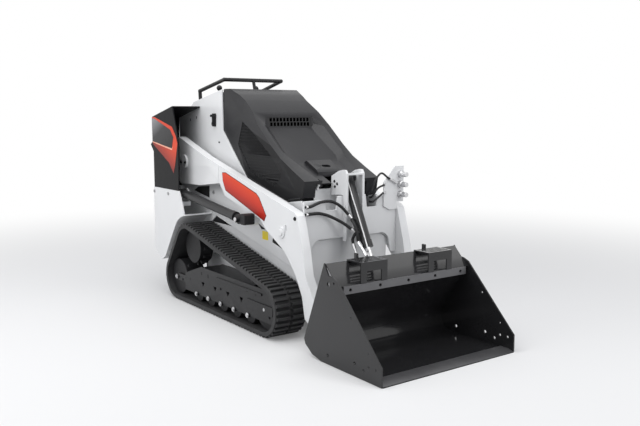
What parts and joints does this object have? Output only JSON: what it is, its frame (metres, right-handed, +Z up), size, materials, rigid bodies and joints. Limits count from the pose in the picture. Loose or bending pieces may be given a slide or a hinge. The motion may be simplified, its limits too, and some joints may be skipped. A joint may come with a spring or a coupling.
{
  "type": "mini skid steer loader",
  "caption": "Stand-on mini track loader with lift arms over rubber tracks, tipping hood, folding rear platform and a tilting bucket.",
  "frame": {"origin": "on the ground, in the middle of the machine's box", "axes": "+X forward to the bucket's edge, +Y to the machine's left, +Z up"},
  "size_m": [2.596, 1.016, 1.5448],
  "materials": {
    "white_paint": "satin powder coat",
    "black_plastic": "fine-grained moulded",
    "black_paint": "semi-gloss powder coat",
    "bucket_paint": "gloss black paint",
    "rubber": "matt",
    "cylinder_paint": "semi-gloss",
    "rod_chrome": "polished",
    "steel": "zinc plated",
    "pad_foam": "matt padded",
    "engine": "cast"
  },
  "bodies": {
    "chassis": {"chassis_frame": "white_paint", "engine_block": "engine", "side_panel_right": "white_paint", "side_panel_left": "white_paint", "rear_pod_right": "white_paint", "rear_pod_left": "white_paint", "wing_right": "black_plastic", "wing_left": "black_plastic", "console": "black_plastic", "thigh_pad": "pad_foam", "controls": "black_plastic", "grab_bar": "black_paint", "track_frame_right": "black_paint", "track_frame_left": "black_paint", "rollers_right": "black_paint", "rollers_left": "black_paint", "idlers_right": "black_paint", "idlers_left": "black_paint", "sprocket_right": "black_paint", "sprocket_left": "black_paint", "track_right": "rubber", "track_left": "rubber"},
    "platform": {"platform": "black_paint"},
    "hood": {"hood": "black_plastic", "hood_grille": "black_plastic"},
    "arms": {"arm_right": "white_paint", "arm_left": "white_paint", "arm_cross": "white_paint", "tilt_tower": "white_paint", "tilt_hoses": "rubber", "aux_couplers": "steel"},
    "lift_barrel_right": {"lift_barrel_right": "cylinder_paint"},
    "lift_barrel_left": {"lift_barrel_left": "cylinder_paint"},
    "lift_rod_right": {"lift_rod_right": "rod_chrome"},
    "lift_rod_left": {"lift_rod_left": "rod_chrome"},
    "tilt_barrel": {"tilt_barrel": "cylinder_paint"},
    "tilt_rod": {"tilt_rod": "rod_chrome"},
    "bucket": {"attach_plate": "black_paint", "latch_levers": "black_paint", "bucket_shell": "bucket_paint", "bucket_lip": "steel", "bucket_steps": "bucket_paint"}
  },
  "joints": [
    {"name": "arm_lift", "type": "hinge", "parent": "chassis", "child": "arms", "pos_m": [-0.946, 0, 0.972], "axis": [0, -1, 0], "range_deg": [0, 65]},
    {"name": "bucket_tilt", "type": "hinge", "parent": "arms", "child": "bucket", "pos_m": [0.635, 0, 0.185], "axis": [0, -1, 0], "range_deg": [-100, 20]},
    {"name": "lift_swing_right", "type": "hinge", "parent": "chassis", "child": "lift_barrel_right", "pos_m": [-0.9, -0.446, 0.754], "axis": [0, -1, 0], "range_deg": [0, 61.87]},
    {"name": "lift_slide_right", "type": "slide", "parent": "lift_barrel_right", "child": "lift_rod_right", "axis": [0.9937, 0, -0.1118], "range_m": [0, 0.2339]},
    {"name": "lift_swing_left", "type": "hinge", "parent": "chassis", "child": "lift_barrel_left", "pos_m": [-0.9, 0.446, 0.754], "axis": [0, -1, 0], "range_deg": [0, 61.87]},
    {"name": "lift_slide_left", "type": "slide", "parent": "lift_barrel_left", "child": "lift_rod_left", "axis": [0.9937, 0, -0.1118], "range_m": [0, 0.2339]},
    {"name": "tilt_swing", "type": "hinge", "parent": "arms", "child": "tilt_barrel", "pos_m": [0.406, 0, 0.928], "axis": [0, -1, 0], "range_deg": [-0.22, 1.02]},
    {"name": "tilt_slide", "type": "slide", "parent": "tilt_barrel", "child": "tilt_rod", "axis": [0.4429, 0, -0.8966], "range_m": [-0.0498, 0.248]},
    {"name": "platform_fold", "type": "hinge", "parent": "chassis", "child": "platform", "pos_m": [-0.906, 0, 0.273], "axis": [0, 1, 0], "range_deg": [0, 75]},
    {"name": "hood_tip", "type": "hinge", "parent": "chassis", "child": "hood", "pos_m": [0.335, 0, 0.885], "axis": [0, 1, 0], "range_deg": [0, 50]}
  ],
  "couplings": [
    {"joint": "lift_swing_right", "follows": "arm_lift", "ratio": 0.9515},
    {"joint": "lift_slide_right", "follows": "arm_lift", "m_per_rad": 0.206},
    {"joint": "lift_swing_left", "follows": "arm_lift", "ratio": 0.9515},
    {"joint": "lift_slide_left", "follows": "arm_lift", "m_per_rad": 0.206},
    {"joint": "tilt_swing", "follows": "bucket_tilt", "ratio": -0.01},
    {"joint": "tilt_slide", "follows": "bucket_tilt", "m_per_rad": -0.142}
  ]
}
